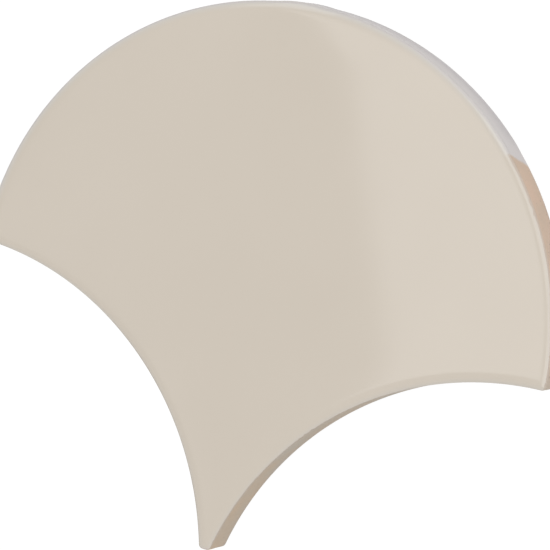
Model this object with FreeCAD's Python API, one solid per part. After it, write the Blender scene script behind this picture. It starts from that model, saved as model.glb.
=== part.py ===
import FreeCAD
import Part
import math
import os
from FreeCAD import Vector

# Fish scale wall tile, pressed and fired as one piece of ceramic.
# It lies on its back, glazed face up. The origin is the centre of the dome's circle, on the back plane.
# +Y runs to the crown and -Y to the tip. Millimetres.

# Driving dimensions of the outline
DOME_RADIUS = 60.0
# joint between two tiles side by side, which sets where the domes of the next row stand
ROW_JOINT = 2.0
# joint between a hollow and the dome that nests in it
HOLLOW_JOINT = 1.6
# the tip is cut square where the two hollows come this close
TIP_WIDTH = 2.3

# Driving dimensions of the section
THICKNESS = 8.0
SHOULDER_RADIUS = 0.9
TIP_RADIUS = 0.9
FACE_EDGE_RADIUS = 0.6
BACK_EDGE_CHAMFER = 0.6

# Driving dimensions of the key on the back, shallow square cells that the adhesive grips
KEY_PITCH = 12.0
KEY_RIB = 3.0
KEY_DEPTH = 0.6
KEY_BORDER = 6.0
# a cell that the border cuts down to less than this share of a whole one is left out
KEY_LEAST_SHARE = 0.25


def mirrored(point):
    return Vector(-point.x, point.y, point.z)


def tile_outline():
    """Sharp-cornered outline: a dome arc, two hollows struck from the next row's domes, and the tip."""
    next_dome = DOME_RADIUS + ROW_JOINT / 2
    hollow_radius = DOME_RADIUS + HOLLOW_JOINT
    hollow_centre = Vector(next_dome, -next_dome, 0)

    # the shoulder is where the dome's circle crosses the hollow's
    between_centres = hollow_centre.Length
    along = (DOME_RADIUS**2 - hollow_radius**2 + between_centres**2) / (2 * between_centres)
    across = math.sqrt(DOME_RADIUS**2 - along**2)
    to_hollow = hollow_centre / between_centres
    shoulder = to_hollow * along + Vector(-to_hollow.y, to_hollow.x, 0) * across

    tip_x = TIP_WIDTH / 2
    tip_y = math.sqrt(hollow_radius**2 - (next_dome - tip_x) ** 2) - next_dome
    tip = Vector(tip_x, tip_y, 0)

    # the hollow's deepest point lies on the line between the two centres
    hollow_middle = hollow_centre - to_hollow * hollow_radius
    crown = Vector(0, DOME_RADIUS, 0)

    dome = Part.Arc(shoulder, crown, mirrored(shoulder))
    left_hollow = Part.Arc(mirrored(shoulder), mirrored(hollow_middle), mirrored(tip))
    tip_end = Part.LineSegment(mirrored(tip), tip)
    right_hollow = Part.Arc(tip, hollow_middle, shoulder)
    curves = [dome, left_hollow, tip_end, right_hollow]
    return Part.Wire([curve.toShape() for curve in curves])


def upright_edges(solid, below=None, above=None):
    """Edges that run from back to face, on one side of a given y."""
    chosen = []
    for edge in solid.Edges:
        start, end = edge.Vertexes[0].Point, edge.Vertexes[-1].Point
        if abs(start.z - end.z) < THICKNESS / 2:
            continue
        if below is not None and start.y > below:
            continue
        if above is not None and start.y < above:
            continue
        chosen.append(edge)
    return chosen


def face_at_height(solid, height):
    """The flat face that lies at a given height over the back plane."""
    level = [face for face in solid.Faces if abs(face.BoundBox.ZMin - height) < 1e-6]
    flat = [face for face in level if face.BoundBox.ZLength < 1e-6]
    return max(flat, key=lambda face: face.Area)


def pressed_blank(outline):
    """The tile before its back is keyed: rounded corners, a soft glazed edge and an eased back edge."""
    blank = Part.Face(outline).extrude(Vector(0, 0, THICKNESS))
    half_way_down = outline.BoundBox.YMin / 2
    blank = blank.makeFillet(SHOULDER_RADIUS, upright_edges(blank, above=half_way_down))
    tip_line = outline.BoundBox.YMin + 1e-6
    blank = blank.makeFillet(TIP_RADIUS, upright_edges(blank, below=tip_line))
    blank = blank.makeFillet(FACE_EDGE_RADIUS, face_at_height(blank, THICKNESS).Edges)
    blank = blank.makeChamfer(BACK_EDGE_CHAMFER, face_at_height(blank, 0).Edges)
    return blank


def key_cells(outline):
    """Square cells between crossing ribs, trimmed to a plain border inside the outline."""
    keyed_area = Part.Face(outline).makeOffset2D(-KEY_BORDER)
    cell_side = KEY_PITCH - KEY_RIB
    least_area = KEY_LEAST_SHARE * cell_side**2
    box = keyed_area.BoundBox
    columns = range(math.floor(box.XMin / KEY_PITCH), math.ceil(box.XMax / KEY_PITCH))
    rows = range(math.floor(box.YMin / KEY_PITCH), math.ceil(box.YMax / KEY_PITCH))

    cells = []
    for column in columns:
        for row in rows:
            corner = Vector(column * KEY_PITCH + KEY_RIB / 2, row * KEY_PITCH + KEY_RIB / 2, 0)
            square = Part.makePlane(cell_side, cell_side, corner)
            for trimmed in keyed_area.common(square).Faces:
                if trimmed.Area > least_area:
                    cells.append(trimmed.extrude(Vector(0, 0, KEY_DEPTH)))
    return cells


def fan_tile():
    outline = tile_outline()
    keyed = pressed_blank(outline).cut(Part.makeCompound(key_cells(outline)))
    return keyed.Solids[0]


os.makedirs("parts", exist_ok=True)
fan_tile().exportStep("parts/fan_tile.step")
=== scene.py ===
import math

import bmesh
import bpy
from mathutils import Matrix, Vector, noise
from mathutils.bvhtree import BVHTree


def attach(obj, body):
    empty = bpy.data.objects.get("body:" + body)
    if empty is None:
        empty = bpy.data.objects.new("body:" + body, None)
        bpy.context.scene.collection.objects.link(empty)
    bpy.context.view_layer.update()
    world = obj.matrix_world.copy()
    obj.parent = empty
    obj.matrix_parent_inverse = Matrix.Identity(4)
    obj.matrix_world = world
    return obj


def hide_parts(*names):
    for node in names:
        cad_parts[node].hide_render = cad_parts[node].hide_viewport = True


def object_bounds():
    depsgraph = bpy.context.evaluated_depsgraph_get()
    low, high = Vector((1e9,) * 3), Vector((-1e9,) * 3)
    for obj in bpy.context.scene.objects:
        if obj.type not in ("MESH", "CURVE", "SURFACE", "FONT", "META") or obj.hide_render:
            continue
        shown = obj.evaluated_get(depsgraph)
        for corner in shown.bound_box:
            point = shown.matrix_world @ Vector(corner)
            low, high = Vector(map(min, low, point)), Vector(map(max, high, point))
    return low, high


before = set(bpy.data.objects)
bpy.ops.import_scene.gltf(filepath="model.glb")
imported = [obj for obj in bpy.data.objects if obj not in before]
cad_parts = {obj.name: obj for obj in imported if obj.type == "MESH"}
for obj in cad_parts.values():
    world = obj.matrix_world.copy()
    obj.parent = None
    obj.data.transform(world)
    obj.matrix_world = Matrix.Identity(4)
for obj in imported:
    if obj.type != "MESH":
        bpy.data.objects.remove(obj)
cad_low, cad_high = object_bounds()

# Pressed outline of the tile
# The die that presses the clay has a dome, two hollows struck from the domes of the next row, and a blunt
# tip. Every corner of the die is eased, because a sharp corner of clay would chip off before firing.
MM = 0.001
UP = Vector((0, 0, 1))

thickness = cad_high.z - cad_low.z
dome_radius = 60 * MM
row_joint = 2 * MM
hollow_joint = 1.6 * MM
tip_width = 2.3 * MM
shoulder_radius = 0.9 * MM
tip_radius = 0.9 * MM
outline_spacing = 0.35 * MM
least_arc_steps = 8
merge_gap = 0.001 * MM

next_dome = dome_radius + row_joint / 2
hollow_centre = Vector((next_dome, -next_dome, 0))
hollow_radius = dome_radius + hollow_joint
tip_y = math.sqrt(hollow_radius**2 - (next_dome - tip_width / 2) ** 2) - next_dome


def circles_cross(radius_here, centre_there, radius_there):
    """Where a circle round the dome's centre crosses another one, on the side of the shoulder."""
    apart = centre_there.length
    along = (radius_here**2 - radius_there**2 + apart**2) / (2 * apart)
    across = math.sqrt(radius_here**2 - along**2)
    towards = centre_there / apart
    return towards * along + UP.cross(towards) * across


def swing(line, vertex, centre, towards):
    """Draws the line on from a vertex, round a centre, until it lies straight out in a direction."""
    reach = vertex.co - centre
    turn = math.atan2(reach.cross(towards).z, reach.dot(towards))
    steps = max(least_arc_steps, round(abs(turn) * reach.length / outline_spacing))
    arc = bmesh.ops.spin(line, geom=[vertex], cent=centre, axis=UP, angle=turn, steps=steps)
    return next(part for part in arc["geom_last"] if isinstance(part, bmesh.types.BMVert))


def close_outline(line):
    """Mirrors a half drawn from the crown down to the middle line, and fills it with one face."""
    half = line.verts[:] + line.edges[:]
    bmesh.ops.mirror(line, geom=half, axis="X", merge_dist=merge_gap)
    bmesh.ops.remove_doubles(line, verts=line.verts[:], dist=merge_gap)
    filled = bmesh.ops.contextual_create(line, geom=line.edges[:])
    return filled["faces"][0]


def tile_outline(line):
    """The tile's own outline, from the crown over the right shoulder to the tip."""
    inside_dome = dome_radius - shoulder_radius
    shoulder = circles_cross(inside_dome, hollow_centre, hollow_radius + shoulder_radius)
    tip_level = tip_y + tip_radius
    tip_reach = math.sqrt((hollow_radius + tip_radius) ** 2 - (tip_level - hollow_centre.y) ** 2)
    tip = Vector((hollow_centre.x - tip_reach, tip_level, 0))

    vertex = line.verts.new((0, dome_radius, 0))
    vertex = swing(line, vertex, Vector(), shoulder)
    vertex = swing(line, vertex, shoulder, hollow_centre - shoulder)
    vertex = swing(line, vertex, hollow_centre, tip - hollow_centre)
    vertex = swing(line, vertex, tip, Vector((0, -1, 0)))
    end = bmesh.ops.extrude_vert_indiv(line, verts=[vertex])["verts"][0]
    end.co.x = 0
    return close_outline(line)


def grow(mesh, face, rise=0.0, shrink=1.0, about=Vector()):
    """Extrudes a face by a rise and a shrink, and returns the face at the far end."""
    grown = bmesh.ops.extrude_face_region(mesh, geom=[face, *face.edges])["geom"]
    face = next(part for part in grown if isinstance(part, bmesh.types.BMFace))
    bmesh.ops.translate(mesh, verts=face.verts[:], vec=UP * rise)
    bmesh.ops.scale(mesh, verts=face.verts[:], vec=(shrink, shrink, 1), space=Matrix.Translation(-about))
    return face


# Blank of the tile
# The outline is pressed to the tile's thickness and its back edge is eased. Close rings along the face edge
# and wider ones inwards let the face take its soft fired shape further down.
back_round = 0.8 * MM
back_round_steps = 4
arris = 0.5 * MM
arris_steps = 7
rim_rows = 12
rim_bottom = back_round + 0.05 * MM
rim_top = thickness - 1.1 * MM
rim_row = (rim_top - rim_bottom) / rim_rows
row_levels = [rim_bottom + rim_row * row for row in range(rim_rows + 1)] + [thickness]

body = bmesh.new()
top_face = tile_outline(body)
for lower, upper in zip([0.0] + row_levels, row_levels):
    top_face = grow(body, top_face, rise=upper - lower)
back_face = min(body.faces, key=lambda face: face.calc_center_median().z)
round_over = dict(affect="EDGES", offset_type="OFFSET", profile=0.5, material=-1, clamp_overlap=False)
bmesh.ops.bevel(body, geom=top_face.edges[:], offset=arris, segments=arris_steps, **round_over)
bmesh.ops.bevel(body, geom=back_face.edges[:], offset=back_round, segments=back_round_steps, **round_over)
top_face = max(body.faces, key=lambda face: face.calc_center_median().z)

ring_centre = Vector((0, 0.3 * dome_radius, 0))
first_ring = 0.003
ring_growth = 1.3
ring_count = 23
depth = 0.0
for ring in range(ring_count):
    deeper = first_ring * ring_growth**ring
    top_face = grow(body, top_face, shrink=(1 - deeper) / (1 - depth), about=ring_centre)
    depth = deeper

# Key on the back
# Shallow square cells are pressed into the back between crossing ribs, for the adhesive to grip.
# They stop short of the rim at a plain border and have a slight draft, so that the press can let go.
key_pitch = 12 * MM
key_rib = 3 * MM
key_depth = 0.6 * MM
key_border = 6 * MM
key_least_share = 0.25
key_least_area = key_least_share * (key_pitch - key_rib) ** 2
key_draft = 0.95


def from_rib(place):
    """Distance of a coordinate from the middle of the nearest rib."""
    return abs(place - key_pitch * round(place / key_pitch))


def add_key_cells(mesh):
    """Cells that are open at the back, cut from the keyed area by the ribs."""
    cells = bmesh.new()
    inner_hollow = hollow_radius + key_border
    shoulder = circles_cross(dome_radius - key_border, hollow_centre, inner_hollow)
    lowest = Vector((0, math.sqrt(inner_hollow**2 - hollow_centre.x**2) + hollow_centre.y, 0))
    vertex = cells.verts.new((0, dome_radius - key_border, 0))
    vertex = swing(cells, vertex, Vector(), shoulder)
    swing(cells, vertex, hollow_centre, lowest - hollow_centre)
    close_outline(cells)

    columns = math.ceil(dome_radius / key_pitch)
    for column in range(-columns, columns + 1):
        for side in (-key_rib / 2, key_rib / 2):
            for across in (Vector((1, 0, 0)), Vector((0, 1, 0))):
                everything = cells.verts[:] + cells.edges[:] + cells.faces[:]
                cut = across * (column * key_pitch + side)
                bmesh.ops.bisect_plane(cells, geom=everything, plane_co=cut, plane_no=across)

    ribs = []
    for face in cells.faces:
        middle = face.calc_center_bounds()
        on_rib = min(from_rib(middle.x), from_rib(middle.y)) < key_rib / 2
        if on_rib or face.calc_area() < key_least_area:
            ribs.append(face)
    bmesh.ops.delete(cells, geom=ribs, context="FACES")
    roofs = bmesh.ops.extrude_discrete_faces(cells, faces=cells.faces[:])["faces"]
    for roof in roofs:
        middle = Matrix.Translation(-roof.calc_center_bounds())
        bmesh.ops.scale(cells, verts=roof.verts[:], vec=(key_draft, key_draft, 1), space=middle)
        bmesh.ops.translate(cells, verts=roof.verts[:], vec=UP * key_depth)

    cell_mesh = bpy.data.meshes.new("key_cells")
    cells.to_mesh(cell_mesh)
    mesh.from_mesh(cell_mesh)
    cells.free()
    bpy.data.meshes.remove(cell_mesh)


back_face = min(body.faces, key=lambda face: face.calc_center_median().z)
bmesh.ops.delete(body, geom=[back_face], context="FACES_ONLY")
add_key_cells(body)
open_edges = [edge for edge in body.edges if edge.is_boundary]
bmesh.ops.triangle_fill(body, edges=open_edges, use_beauty=True, normal=-UP)
bmesh.ops.recalc_face_normals(body, faces=body.faces[:])
body.normal_update()

# Fired shape of the face and the rim
# The pressed face falls softly towards its edges like a flat pillow, and the glaze on it rolls over the edge
# in a low bead. The bead's line wanders and has small nicks. The rim under it is a little uneven, and the
# white slip that ran over the crown stands proud there.
pillow_fall = 0.12 * MM
pillow_reach = 8.5 * MM
pillow_blend = 3
bead_fall = 0.50 * MM
bead_width = 2.2 * MM

# the glaze reaches this far down the edge, and above the shoulder's level the edge is the dome's
dome_line = 0.06 * MM
hollow_line = 0.20 * MM
shoulder_line = 1.2 * MM
shoulder_level = 0.9 * MM
shoulder_from, shoulder_to = -8.5 * MM, -4.0 * MM
line_wander = 0.07 * MM
line_wave = 330
slow_wander = 0.20 * MM
slow_wave = 60
slow_seed = Vector((0, 0, 172.5))
draw_back = 0.02 * MM
most_draw_back = 0.16 * MM
nick_depth = 0.80 * MM
nick_wave = 900
nick_rarity = 0.30
rim_wander = 0.05 * MM
rim_wave = 330

# the slip's places are angles about the dome's centre
slip_right_end = math.radians(43.9)
slip_coat = 0.12 * MM
slip_fade = math.radians(35)
slip_taper = math.radians(1.5)
thin_coat = 0.065 * MM
coat_left_end = math.radians(99.5)
drip_place = math.radians(93.6)
drip_width = math.radians(4.4)
drip_coat = 0.25 * MM
slip_reach = 0.5 * MM

glaze_slot, clay_slot = 0, 1
level_gap = 0.01 * MM
facing_down = -0.95
sharp_edge = math.radians(38)


def edge_fence():
    """An upright band along the outline, to measure distances from."""
    band = bmesh.new()
    bmesh.ops.delete(band, geom=[tile_outline(band)], context="FACES_ONLY")
    raised = bmesh.ops.extrude_edge_only(band, edges=band.edges[:])["geom"]
    upper = [part for part in raised if isinstance(part, bmesh.types.BMVert)]
    bmesh.ops.translate(band, verts=upper, vec=UP * MM)
    tree = BVHTree.FromBMesh(band)
    band.free()
    return tree


def pillow(plan):
    """How far the pressed face lies under its middle: the falls from all its edges, smoothly joined."""
    other_hollow = Vector((-hollow_centre.x, hollow_centre.y, 0))
    to_edges = [
        dome_radius - plan.length,
        (plan - hollow_centre).length - hollow_radius,
        (plan - other_hollow).length - hollow_radius,
        plan.y - tip_y,
    ]
    shares = [max(0.0, 1 - max(distance, 0.0) / pillow_reach) ** 2 for distance in to_edges]
    return pillow_fall * sum(share**pillow_blend for share in shares) ** (1 / pillow_blend)


def bead(distance):
    """How far the glaze's bead has rolled over at a distance from the edge: a quarter of an ellipse."""
    share = max(0.0, 1 - distance / bead_width)
    return bead_fall * (1 - math.sqrt(1 - share**2))


def line_depth(plan):
    """How far down the edge the glaze reaches: in the hollows further, and most near the shoulders."""
    if plan.y > shoulder_level:
        return dome_line
    near_shoulder = (plan.y - shoulder_from) / (shoulder_to - shoulder_from)
    return hollow_line + (shoulder_line - hollow_line) * min(1.0, max(0.0, near_shoulder))


def line_at(plan):
    """How far the glaze line lies outside its even course: slow and quick waves, and nicks."""
    slow = slow_wander * noise.noise(plan * slow_wave + slow_seed)
    quick = line_wander * noise.noise(plan * line_wave)
    nick = nick_depth * max(0.0, noise.noise(plan * nick_wave) - nick_rarity)
    return max(slow + quick - nick - draw_back, -most_draw_back)


def slip_swell(plan):
    """How far the slip stands off the rim: most at its right end, less from there on, and a drip."""
    angle = math.atan2(plan.y, plan.x)
    past_end = angle - slip_right_end
    from_ends = min(past_end, coat_left_end - angle)
    coat = max(thin_coat, slip_coat * (1 - past_end / slip_fade))
    coat *= min(1.0, max(0.0, from_ends / slip_taper))
    drip = drip_coat * max(0.0, 1 - ((angle - drip_place) / drip_width) ** 2)
    return coat + drip


for face in body.faces:
    face.smooth = True
    lowest = min(vertex.co.z for vertex in face.verts)
    glazed = lowest > thickness - line_depth(face.calc_center_median())
    face.material_index = glaze_slot if glazed else clay_slot

fence = edge_fence()
face_edge = thickness - arris - level_gap
for vertex in body.verts:
    level = vertex.co.z
    if level < level_gap or vertex.normal.z < facing_down:
        continue
    plan = Vector((vertex.co.x, vertex.co.y, 0))
    from_edge = fence.find_nearest(plan)[3]
    if level < back_round and from_edge > back_round:
        continue
    outward = Vector((vertex.normal.x, vertex.normal.y, 0)).normalized()
    slip = slip_swell(plan) * min(1.0, level / back_round) * math.exp(-from_edge / slip_reach)
    if level > face_edge:
        wander = line_at(plan) * math.sin(math.pi * min(1.0, from_edge / arris))
        vertex.co.z = thickness - pillow(plan) - bead(max(0.0, from_edge - wander))
        vertex.co += outward * (slip + wander)
    else:
        middle = min(1.0, max(0.0, (level - rim_bottom) / (rim_top - rim_bottom)))
        # a hump of 1 half way up the rim, and of 0 at both its ends
        hump = 4 * middle * (1 - middle)
        uneven = rim_wander * noise.noise(vertex.co * rim_wave) * hump
        vertex.co += outward * (slip - abs(uneven))

tile_mesh = bpy.data.meshes.new("fan_tile_fired")
body.to_mesh(tile_mesh)
body.free()
tile_mesh.set_sharp_from_angle(angle=sharp_edge)
tile = bpy.data.objects.new("fan_tile_fired", tile_mesh)
bpy.context.scene.collection.objects.link(tile)

# Glaze and bare clay
# The face carries a glossy beige glaze with slow waves in it. The rim and the back are bare fired clay
# with a fine grain. White slip has run over the dome's rim, thick at its right end and thin from there
# to the left shoulder.


def plain_material(name):
    """A new material with its shader and the piece's own coordinates."""
    material = bpy.data.materials.new(name)
    material.use_nodes = True
    nodes = material.node_tree.nodes
    shader = nodes["Principled BSDF"]
    place = nodes.new("ShaderNodeTexCoord").outputs["Object"]
    return material, shader, place


def mottle(tree, place, scale, detail=3.0):
    """Soft cloudy noise over the piece, as a value."""
    clouds = tree.nodes.new("ShaderNodeTexNoise")
    clouds.inputs["Scale"].default_value = scale
    clouds.inputs["Detail"].default_value = detail
    tree.links.new(place, clouds.inputs["Vector"])
    return clouds.outputs["Fac"]


def spread(tree, value, low, high, to_low=0.0, to_high=1.0, smooth=False):
    """Takes a value from one range to another, and stops at its ends."""
    ranged = tree.nodes.new("ShaderNodeMapRange")
    ranged.interpolation_type = "SMOOTHSTEP" if smooth else "LINEAR"
    ranged.inputs["From Min"].default_value = low
    ranged.inputs["From Max"].default_value = high
    ranged.inputs["To Min"].default_value = to_low
    ranged.inputs["To Max"].default_value = to_high
    tree.links.new(value, ranged.inputs["Value"])
    return ranged.outputs["Result"]


def blend(tree, share, first, second):
    """Mixes two colours, each given as a colour or taken from another node."""
    mix = tree.nodes.new("ShaderNodeMix")
    mix.data_type = "RGBA"
    tree.links.new(share, mix.inputs["Factor"])
    for socket, colour in ((mix.inputs["A"], first), (mix.inputs["B"], second)):
        if isinstance(colour, bpy.types.NodeSocket):
            tree.links.new(colour, socket)
        else:
            socket.default_value = (*colour, 1)
    return mix.outputs["Result"]


def combine(tree, how, first, second):
    """One step of arithmetic between two values, each a number or taken from another node."""
    step = tree.nodes.new("ShaderNodeMath")
    step.operation = how
    for socket, value in zip(step.inputs, (first, second)):
        if isinstance(value, bpy.types.NodeSocket):
            tree.links.new(value, socket)
        else:
            socket.default_value = value
    return step.outputs["Value"]


def relief(tree, height, distance, under=None):
    """A bump of a given height in metres, laid over another one where there is one."""
    bump = tree.nodes.new("ShaderNodeBump")
    bump.inputs["Distance"].default_value = distance
    tree.links.new(height, bump.inputs["Height"])
    if under is not None:
        tree.links.new(under, bump.inputs["Normal"])
    return bump.outputs["Normal"]


def split(tree, vector):
    """The three coordinates of a place."""
    parts = tree.nodes.new("ShaderNodeSeparateXYZ")
    tree.links.new(vector, parts.inputs["Vector"])
    return parts.outputs["X"], parts.outputs["Y"], parts.outputs["Z"]


def slip_run():
    """Where the slip lies on the rim, from its ragged, slanted right end on, and where it has run thin."""
    slip_left_end = math.radians(172)
    slip_slant = math.radians(2.8) / thickness
    ragged_edge = math.radians(0.35)
    ragged_scale = 900
    thinning_from, thinning_to = math.radians(1.5), math.radians(6.5)
    rim_from, rim_to = dome_radius - key_border, dome_radius - key_border / 2
    group = bpy.data.node_groups.new("slip_run", "ShaderNodeTree")
    group.interface.new_socket("Place", in_out="INPUT", socket_type="NodeSocketVector")
    group.interface.new_socket("Slip", in_out="OUTPUT", socket_type="NodeSocketFloat")
    group.interface.new_socket("Thin", in_out="OUTPUT", socket_type="NodeSocketFloat")
    place = group.nodes.new("NodeGroupInput").outputs["Place"]
    east, north, height = split(group, place)
    angle = combine(group, "ARCTAN2", north, east)
    slant = combine(group, "MULTIPLY", combine(group, "SUBTRACT", height, thickness), slip_slant)
    past_right = combine(group, "SUBTRACT", combine(group, "SUBTRACT", angle, slip_right_end), slant)
    past_end = combine(group, "MINIMUM", past_right, combine(group, "SUBTRACT", slip_left_end, angle))
    fringe = mottle(group, place, ragged_scale, detail=2.0)
    ragged = spread(group, fringe, 0.0, 1.0, -ragged_edge, ragged_edge)
    slip = spread(group, combine(group, "ADD", past_end, ragged), -ragged_edge, ragged_edge)
    # on the back the slip stays near the rim, off the key
    reach = group.nodes.new("ShaderNodeVectorMath")
    reach.operation = "LENGTH"
    group.links.new(place, reach.inputs["Vector"])
    near_rim = spread(group, reach.outputs["Value"], rim_from, rim_to)
    slip = combine(group, "MULTIPLY", slip, near_rim)
    thin = spread(group, past_right, thinning_from, thinning_to, smooth=True)
    results = group.nodes.new("NodeGroupOutput")
    group.links.new(slip, results.inputs["Slip"])
    group.links.new(thin, results.inputs["Thin"])
    return group


slip_group = slip_run()


def slip_masks(tree, place):
    """Places the slip's masks in a material: where it lies, and where it is thin."""
    masks = tree.nodes.new("ShaderNodeGroup")
    masks.node_tree = slip_group
    tree.links.new(place, masks.inputs["Place"])
    return masks.outputs["Slip"], masks.outputs["Thin"]


def glossy_glaze():
    """Beige glaze, faintly cloudy. Where it thins over the edge, the clay or the slip shows through."""
    beige = (0.607, 0.544, 0.464)
    beige_cloud = (0.614, 0.551, 0.471)
    thin_beige = (0.602, 0.554, 0.492)
    thin_on_slip = (0.625, 0.592, 0.546)
    thin_from, thin_to = thickness - 0.18 * MM, thickness - 0.42 * MM
    slip_from, slip_to = thickness - 0.10 * MM, thickness - 0.33 * MM
    cloud_scale, cloud_low, cloud_high = 45, 0.35, 0.65
    gloss_scale, gloss_low, gloss_high = 120, 0.3, 0.7
    least_rough, most_rough = 0.045, 0.06
    flow_scale, flow_height = 22, 0.03 * MM
    peel_scale, peel_height = 900, 0.0006 * MM
    material, shader, place = plain_material("beige_glaze")
    tree = material.node_tree
    height = split(tree, place)[2]
    clouds = spread(tree, mottle(tree, place, cloud_scale), cloud_low, cloud_high)
    colour = blend(tree, clouds, beige, beige_cloud)
    colour = blend(tree, spread(tree, height, thin_from, thin_to), colour, thin_beige)
    slip, _ = slip_masks(tree, place)
    over_slip = combine(tree, "MULTIPLY", slip, spread(tree, height, slip_from, slip_to))
    colour = blend(tree, over_slip, colour, thin_on_slip)
    tree.links.new(colour, shader.inputs["Base Color"])
    streaks = mottle(tree, place, gloss_scale)
    gloss = spread(tree, streaks, gloss_low, gloss_high, least_rough, most_rough)
    tree.links.new(gloss, shader.inputs["Roughness"])
    flow = relief(tree, mottle(tree, place, flow_scale, detail=1.0), flow_height)
    peel = relief(tree, mottle(tree, place, peel_scale, detail=2.0), peel_height, under=flow)
    tree.links.new(peel, shader.inputs["Normal"])
    return material


def bare_clay():
    """Fired clay with a fine grain, under white slip where that has run over the dome's rim, with painted
    shade on the hollows, along the top of the rim and towards its bottom.
    """
    tan = (0.705, 0.556, 0.434)
    pink = (0.770, 0.576, 0.446)
    shaded_grey_tan = (0.580, 0.515, 0.435)
    shaded_brown_tan = (0.640, 0.508, 0.378)
    dark_speck = (0.480, 0.390, 0.320)
    shaded_dome_lip = (0.551, 0.466, 0.394)
    shaded_hollow_lip = (0.480, 0.415, 0.350)
    painted_foot_shade = (0.400, 0.380, 0.360)
    white_slip = (0.725, 0.680, 0.668)
    shaded_thin_slip = (0.590, 0.556, 0.556)
    shaded_lip_slip = (0.588, 0.556, 0.533)
    pink_from, pink_to = -4.0 * MM, 8.0 * MM
    brown_from, brown_to = -20.0 * MM, -38.0 * MM
    lip_shade_from, lip_shade_to = thickness - 0.45 * MM, thickness - 0.80 * MM
    foot_shade_from, foot_shade_to, foot_shade_share = 1.6 * MM, 0.5 * MM, 0.25
    slip_shade_from, slip_shade_to = 6.0 * MM, 0.8 * MM
    slip_foot_from, slip_foot_to = 0.3 * MM, 0.5 * MM
    patch_scale, patch_low, patch_high = 130, 0.38, 0.62
    speck_scale, speck_low, speck_high = 1400, 0.68, 0.74
    brown_share = 0.5
    clay_rough, slip_rough = 0.85, 0.5
    grain_scale, grain_height = 2600, 0.05 * MM
    grain_in_slip = 0.2
    material, shader, place = plain_material("fired_clay")
    tree = material.node_tree
    _, north, height = split(tree, place)
    below_lip_shade = spread(tree, height, lip_shade_from, lip_shade_to)
    patches = spread(tree, mottle(tree, place, patch_scale, detail=4.0), patch_low, patch_high)
    dark_specks = spread(tree, mottle(tree, place, speck_scale, detail=2.0), speck_low, speck_high)
    # the hollows' rims are painted darker and greyer than the dome's: partly the clay's own tone, partly
    # painted shade, as they face away from the key light
    dome_tone_and_light = spread(tree, north, pink_from, pink_to, smooth=True)
    browner = combine(tree, "ADD", patches, spread(tree, north, brown_from, brown_to, smooth=True))
    hollow_tone_and_shade = blend(tree, combine(tree, "MULTIPLY", browner, brown_share), shaded_grey_tan, shaded_brown_tan)
    clay = blend(tree, dome_tone_and_light, hollow_tone_and_shade, blend(tree, patches, tan, pink))
    # small dark specks at random over the clay
    clay = blend(tree, dark_specks, clay, dark_speck)
    # painted shade: the rounded top of the rim, just under the glaze's bead, is painted darker, and on the
    # hollows darker still
    shaded_lip = blend(tree, dome_tone_and_light, shaded_hollow_lip, shaded_dome_lip)
    clay = blend(tree, below_lip_shade, shaded_lip, clay)
    # painted shade: the clay is painted darker towards the bottom of the rim, where the floor lights it less
    foot_shade = spread(tree, height, foot_shade_from, foot_shade_to, 0.0, foot_shade_share)
    clay = blend(tree, foot_shade, clay, painted_foot_shade)

    on_rim = spread(tree, height, slip_foot_from, slip_foot_to)
    slip, thin = slip_masks(tree, place)
    slip = combine(tree, "MULTIPLY", slip, on_rim)
    # the slip is painted darker and greyer towards the bottom of the rim, away from its thick right end:
    # partly the slip running thin, partly painted shade
    thin = combine(tree, "MULTIPLY", thin, spread(tree, height, slip_shade_from, slip_shade_to))
    slip_tone = blend(tree, thin, white_slip, shaded_thin_slip)
    # painted shade: the slip on the rounded top of the rim is painted darker as well
    slip_tone = blend(tree, below_lip_shade, shaded_lip_slip, slip_tone)
    tree.links.new(blend(tree, slip, clay, slip_tone), shader.inputs["Base Color"])
    tree.links.new(spread(tree, slip, 0.0, 1.0, clay_rough, slip_rough), shader.inputs["Roughness"])
    smoothed = spread(tree, slip, 0.0, 1.0, 1.0, grain_in_slip)
    grain = combine(tree, "MULTIPLY", mottle(tree, place, grain_scale), smoothed)
    tree.links.new(relief(tree, grain, grain_height), shader.inputs["Normal"])
    return material


tile_mesh.materials.append(glossy_glaze())
tile_mesh.materials.append(bare_clay())
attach(tile, "root")
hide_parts("fan_tile")

# Floor
# A pale seamless studio floor that the tile lies on. It is lifted to white for the camera and in reflections,
# and still takes the tile's soft shadow.
floor_half = 3.0
floor_drop = -0.02 * MM
floor_mesh = bpy.data.meshes.new("studio_floor")
floor_shape = bmesh.new()
bmesh.ops.create_grid(floor_shape, x_segments=2, y_segments=2, size=floor_half)
bmesh.ops.translate(floor_shape, verts=floor_shape.verts[:], vec=UP * floor_drop)
floor_shape.to_mesh(floor_mesh)
floor_shape.free()
floor = bpy.data.objects.new("studio_floor", floor_mesh)
bpy.context.scene.collection.objects.link(floor)


def white_floor():
    """Matt pale paint, with a lift that the camera and reflections see."""
    paint = (0.60, 0.60, 0.60)
    paint_seen = (0.13, 0.13, 0.13)
    paint_rough = 0.9
    lift = 0.92
    material, shader, _ = plain_material("white_floor")
    tree = material.node_tree
    path = tree.nodes.new("ShaderNodeLightPath").outputs
    mirrored = combine(tree, "MAXIMUM", path["Is Glossy Ray"], path["Is Transmission Ray"])
    seen = combine(tree, "MAXIMUM", path["Is Camera Ray"], mirrored)
    tree.links.new(blend(tree, seen, paint, paint_seen), shader.inputs["Base Color"])
    shader.inputs["Roughness"].default_value = paint_rough
    shader.inputs["Specular IOR Level"].default_value = 0.0
    shader.inputs["Emission Color"].default_value = (1, 1, 1, 1)
    tree.links.new(combine(tree, "MULTIPLY", seen, lift), shader.inputs["Emission Strength"])
    return material


floor_mesh.materials.append(white_floor())

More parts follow.
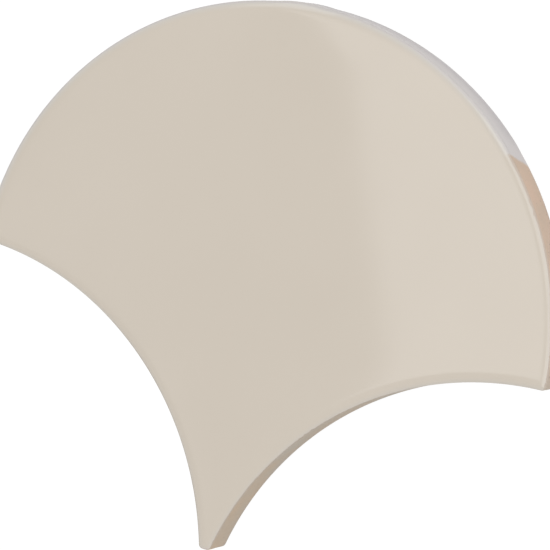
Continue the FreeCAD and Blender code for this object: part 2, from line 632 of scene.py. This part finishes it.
# Studio light
# An evenly lit room with four soft boxes overhead. The edge of the first shows in the glaze as a soft step
# from darker to lighter. The large key stands to the right and lights the rim. The last two are faint and
# show in the beads at the crown and on the left.
scene = bpy.context.scene
world = bpy.data.worlds.new("studio_room")
scene.world = world
world.use_nodes = True
room = world.node_tree.nodes["Background"]
room_strength = 0.645
lamp_height = 1.008
room.inputs["Color"].default_value = (1, 1, 1, 1)
room.inputs["Strength"].default_value = room_strength


def soft_box(name, place, size, power, roll=0.0):
    """A rectangular lamp over a place on the floor, which looks straight down and may be turned."""
    lamp = bpy.data.lights.new(name, "AREA")
    lamp.shape = "RECTANGLE"
    lamp.size, lamp.size_y = size
    lamp.energy = power
    light = bpy.data.objects.new(name, lamp)
    light.matrix_world = Matrix.Translation((*place, lamp_height)) @ Matrix.Rotation(roll, 4, "Z")
    light.visible_camera = False
    scene.collection.objects.link(light)
    return lamp


def feather(lamp, west, east, south, north):
    """Lets a soft box fade out towards each of its edges, over a width of its own."""
    lamp.use_nodes = True
    tree = lamp.node_tree
    place = tree.nodes.new("ShaderNodeNewGeometry").outputs["Parametric"]
    across, along, _ = split(tree, place)
    glow = 1.0
    sides = ((across, lamp.size, west, east), (along, lamp.size_y, south, north))
    for share, size, low, high in sides:
        glow = combine(tree, "MULTIPLY", spread(tree, share, 0.0, low / size, smooth=True), glow)
        glow = combine(tree, "MULTIPLY", spread(tree, share, 1.0, 1.0 - high / size, smooth=True), glow)
    tree.links.new(glow, tree.nodes["Emission"].inputs["Strength"])


step_turn = math.radians(21)
step_lamp = soft_box("step_box", place=(-0.2041, 0.0891), size=(0.438, 0.626), power=1.162, roll=step_turn)
feather(step_lamp, west=0.015, east=0.26, south=0.03, north=0.26)
key_turn = math.radians(14)
key_lamp = soft_box("key_box", place=(0.4976, 0.2394), size=(1.0, 1.3), power=6.74, roll=key_turn)
feather(key_lamp, west=0.06, east=0.06, south=0.06, north=0.06)
crown_lamp = soft_box("crown_box", place=(-0.515, 0.475), size=(0.23, 0.41), power=0.33)
feather(crown_lamp, west=0.03, east=0.03, south=0.03, north=0.03)
west_lamp = soft_box("west_box", place=(-0.56, -0.07), size=(0.30, 0.60), power=0.16)
feather(west_lamp, west=0.1, east=0.1, south=0.1, north=0.1)

# Camera
# It looks down on the tile from its right, with a long lens. The tile is turned a little clockwise in the
# picture.
image_width = 550
sensor_width = 36
focal_pixels = 3189.6
nearest_seen = 0.01
aim_point = Vector((2.79, 8.69, 8.0)) * MM
camera_distance = 606.0 * MM
camera_azimuth = math.radians(17.83)
camera_elevation = math.radians(66.52)
picture_roll = math.radians(12.0)

camera_data = bpy.data.cameras.new("camera")
camera_data.sensor_width = sensor_width
camera_data.lens = focal_pixels / image_width * sensor_width
camera_data.clip_start = nearest_seen
camera = bpy.data.objects.new("camera", camera_data)
scene.collection.objects.link(camera)
flat_reach = math.cos(camera_elevation)
away_east = flat_reach * math.cos(camera_azimuth)
away_north = flat_reach * math.sin(camera_azimuth)
away = Vector((away_east, away_north, math.sin(camera_elevation)))
picture_right = Vector((0, 1, 0)).cross(away).normalized()
picture_up = away.cross(picture_right)
facing = Matrix((picture_right, picture_up, away)).transposed().to_4x4()
eye = Matrix.Translation(aim_point + away * camera_distance)
camera.matrix_world = eye @ facing @ Matrix.Rotation(picture_roll, 4, "Z")
scene.camera = camera
scene.view_settings.view_transform = "Standard"
